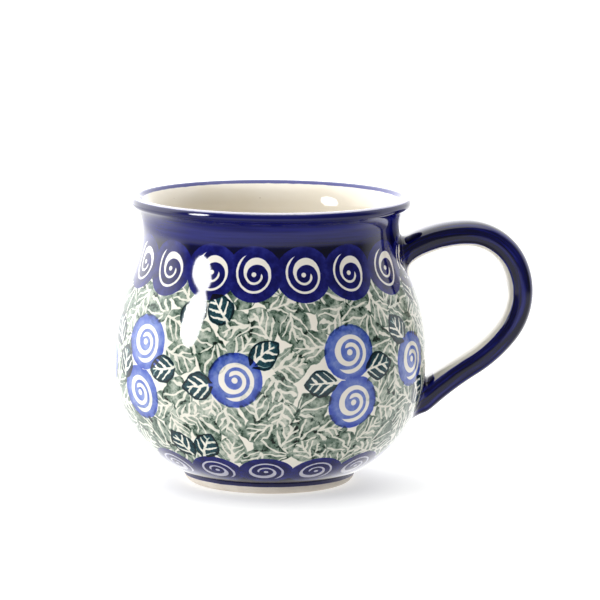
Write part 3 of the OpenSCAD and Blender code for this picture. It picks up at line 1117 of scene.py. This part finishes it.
def bare_clay():
    """Buff stoneware: fine grain, faint turning lines, a few dark specks, and above the foot
    ring a narrow stain where the lowest cobalt band was brushed past the glaze's edge."""
    made, n = material("bare_stoneware")
    place = n.place_mm()
    x, y, z = n.split(place)
    grain = n.noise(place, 0.35, 3.0, 0.6)
    cloud = n.noise(place, 6.0, 3.0)
    rings = n.noise(n.vector("MULTIPLY", place, (0.02, 0.02, 1.0)), 0.5, 2.0)
    buff = n.mix(n.ramp(cloud, 0.3, 0.7), (0.7, 0.64, 0.56, 1.0), (0.62, 0.55, 0.47, 1.0))
    buff = n.mix(n.ramp(grain, 0.35, 0.7, 0.0, 0.5), buff, (0.74, 0.68, 0.6, 1.0))
    buff = specked(n, place, buff, (0.2, 0.13, 0.08, 1.0))
    stain = n.ramp(z + cloud * 0.3, 2.65, 2.85) * n.ramp(n.hypot(x, y), 22.5, 23.0)
    buff = inked(n, buff, (stain * n.ramp(grain, 0.3, 0.7, 1.2, 1.6), COBALT_INK))
    height = grain * 0.05 + rings * 0.03
    shade(n, Base_Color=buff, Roughness=n.ramp(grain, 0.3, 0.7, 0.75, 0.9) - stain * 0.4,
          Normal=n.add("ShaderNodeBump", {"Strength": 0.6, "Distance": MM, "Height": height}))
    return made


# ---- the pieces --------------------------------------------------------------------------


def finish_piece(piece, finish, slot, *nodes):
    """Gives a piece its material, hangs it on the root body, and hides the imported parts it stands in
    for.
    """
    piece.data.materials.append(finish)
    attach(piece, "root")
    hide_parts(*nodes)


def make_cup(stamped, cream, clay):
    """The clay cup, the stamped coat outside it, and the plain coats inside and under it."""
    profile, skin_rows = outer_shell()
    outside = turned_ring("glazed_outside", profile)
    stamp_outside(outside, profile[:skin_rows], len(outside.data.polygons))
    face_outwards(outside)
    finish_piece(outside, stamped, "decorated_glaze", "outer_glaze")
    for name, shape, finish, slot, node in (
            ("clay_cup", clay_profile(), clay, "clay", "body"),
            ("glazed_inside", inner_shell(), cream, "clear_glaze", "inner_glaze"),
            ("glazed_base", base_profile(), cream, "clear_glaze", "base_glaze")):
        piece = turned_solid(name, shape, PLAIN_COLUMNS)
        face_outwards(piece)
        finish_piece(piece, finish, slot, node)


def make_fillet(name, skin, end, clay):
    """The slip between strap and wall: its skin, then back under it along the strap's clay."""
    count = FILLET_RINGS + 2
    u, v = oblong(STRAP_SIDES, STRAP_T / 2 - GLAZE, STRAP_W / 2 - GLAZE)
    leaves, meets = strap_hits(u, v)
    rings, hit, sign = (skin[:count], leaves, 1) if end == "upper" else (skin[-count:][::-1], meets, -1)
    inner = np.stack([on_strap(hit + sign * share * FILLET, u, v) for share in (0.0, 0.5, 0.97)])
    loop = np.concatenate([rings, inner[::-1]])
    piece = tube_piece(name, loop, True)
    finish_piece(piece, clay, "slip", f"{end}_slip")


def make_handle(cobalt, clay):
    """The strap of clay, its coat, which runs over both fillets on to the wall, and the fillets."""
    skin, section = strap_skin(STRAP_T / 2, STRAP_W / 2)
    under = skin - GLAZE * ring_normals(skin)
    coat = tube_piece("handle_coat", np.concatenate([skin, under[::-1]]), True)
    add_section(coat, np.concatenate([section, section[::-1]]))
    finish_piece(coat, cobalt, "cobalt_glaze", "handle_glaze")
    u, v = oblong(STRAP_SIDES, STRAP_T / 2 - GLAZE, STRAP_W / 2 - GLAZE)
    leaves, meets = strap_hits(u, v)
    length = leaves + (meets - leaves) * np.linspace(0, 1, STRAP_RINGS)[:, None]
    strap = tube_piece("handle_strap", on_strap(length, u[None, :], v[None, :]), False)
    finish_piece(strap, clay, "clay", "handle")
    make_fillet("upper_fillet", under, "upper", clay)
    make_fillet("lower_fillet", under, "lower", clay)


# ---- the studio --------------------------------------------------------------------------

CAMERA_AT = (-0.098, -1.246, 0.244)
AIM_AT = (0.0091, -0.0007, 0.0562)
CAMERA_ROLL = 0.5
LENS = 246
SENSOR = 36
WINDOW_TURN = -156  # where the tall soft window stands, in degrees round the mug
WINDOW_RISE = 19
WINDOW_AWAY = 0.9
WINDOW_SIZE = (0.27, 0.5)
WINDOW_AIM = (0.0, 0.0, 0.06)
GLINT_POWER = 8.5  # the window as seen in the glaze
WINDOW_POWER = 4.2  # and as it lights the mug
TABLE_R = 6000.0
TABLE_T = 20.0


def from_aim(turn, rise, away):
    """A place a distance away from where the window aims, at a turn and a rise in degrees."""
    (cos_turn, sin_turn), (cos_rise, sin_rise) = way(turn), way(rise)
    return Vector(WINDOW_AIM) + away * Vector((cos_turn * cos_rise, sin_turn * cos_rise, sin_rise))


def make_camera():
    """A long lens a little above level, rolled slightly."""
    data = bpy.data.cameras.new("camera")
    data.lens = LENS
    data.sensor_width = SENSOR
    data.clip_end = 50
    camera = bpy.data.objects.new("camera", data)
    bpy.context.collection.objects.link(camera)
    aim = (Vector(AIM_AT) - Vector(CAMERA_AT)).to_track_quat("-Z", "Y")
    roll = Matrix.Rotation(math.radians(CAMERA_ROLL), 4, "Z")
    camera.matrix_world = Matrix.Translation(CAMERA_AT) @ aim.to_matrix().to_4x4() @ roll
    bpy.context.scene.camera = camera


def make_window(name, power):
    """An oval area light that aims at the mug."""
    data = bpy.data.lights.new(name, "AREA")
    data.shape = "ELLIPSE"
    data.size, data.size_y = WINDOW_SIZE
    data.energy = power
    light = bpy.data.objects.new(name, data)
    bpy.context.collection.objects.link(light)
    at = from_aim(WINDOW_TURN, WINDOW_RISE, WINDOW_AWAY)
    aim = (Vector(WINDOW_AIM) - at).to_track_quat("-Z", "Y")
    light.matrix_world = Matrix.Translation(at) @ aim.to_matrix().to_4x4()
    return light


def make_room():
    """White room light: bright behind the mug, more so on its left, and right overhead; dark from
    just below eye height up in front; white below. Looked at straight, it is plain white."""
    world = bpy.data.worlds.new("room")
    bpy.context.scene.world = world
    world.use_nodes = True
    n = Nodes(world.node_tree)
    world.node_tree.nodes.clear()
    ray = n.add("ShaderNodeTexCoord", output="Generated")
    x, y, z = n.split(ray)
    front = n.ramp(y, 0.25, -0.2)
    raised = n.ramp(z, -0.19, -0.11)
    below = n.ramp(y, -0.2, 0.5, 0.95, 1.7)
    behind = n.ramp(x, -0.3, 0.8, 2.8, 1.4)
    light = n.mix(raised, n.combine(below, below, below), n.combine(behind, behind, behind))
    light = n.mix(raised * front, light, (0.17, 0.17, 0.17, 1.0))
    light = n.mix(n.ramp(z, -0.5, -0.85), light, (0.4, 0.4, 0.4, 1.0))
    light = n.mix(n.ramp(z, 0.82, 0.92), light, (2.6, 2.6, 2.6, 1.0))
    seen = n.add("ShaderNodeLightPath", output="Is Camera Ray")
    light = n.mix(seen, light, (1.1, 1.1, 1.1, 1.0))
    back = n.add("ShaderNodeBackground", {"Color": light, "Strength": 1.0})
    output = world.node_tree.nodes.new("ShaderNodeOutputWorld")
    n.join(back, output.inputs[0])


def make_floor():
    """A pale table that also glows, as painted light: less so under the mug, a painted shadow, and
    less so far out in front, painted shade. The glaze doesn't mirror it."""
    profile = np.array([[0, -TABLE_T], [TABLE_R, -TABLE_T], [TABLE_R, 0], [400, 0], [0, 0]])
    floor = turned_solid("table_top", profile, 96)
    face_outwards(floor)
    made, n = material("pale_table")
    place = n.place_mm()
    x, y, _ = n.split(place)
    cloud = n.ramp(n.noise(place, 300.0), 0.3, 0.7)
    tint = n.mix(cloud, (0.5, 0.5, 0.5, 1.0), (0.52, 0.52, 0.52, 1.0))
    # Painted light: the table's glow, dimmed round the mug as a painted shadow and far out in front as
    # painted shade.
    painted_table_light = n.ramp(n.hypot(x, y), 45.0, 140.0, 0.53, 0.62) * n.ramp(y, -900.0, -250.0, 0.7, 1.0)
    shade(n, Base_Color=tint, Roughness=0.7, Emission_Color=n.combine(painted_table_light, painted_table_light, painted_table_light),
          Emission_Strength=1.0)
    floor.data.materials.append(made)
    floor.visible_glossy = False


make_camera()
make_room()
make_window("window_glint", GLINT_POWER).visible_diffuse = False
make_window("window", WINDOW_POWER).visible_glossy = False
make_floor()

clay_finish = bare_clay()
cream_finish = clear_glaze()
make_cup(decorated_glaze(), cream_finish, clay_finish)
make_handle(cobalt_glaze(), clay_finish)

bpy.context.scene.view_settings.view_transform = "Standard"
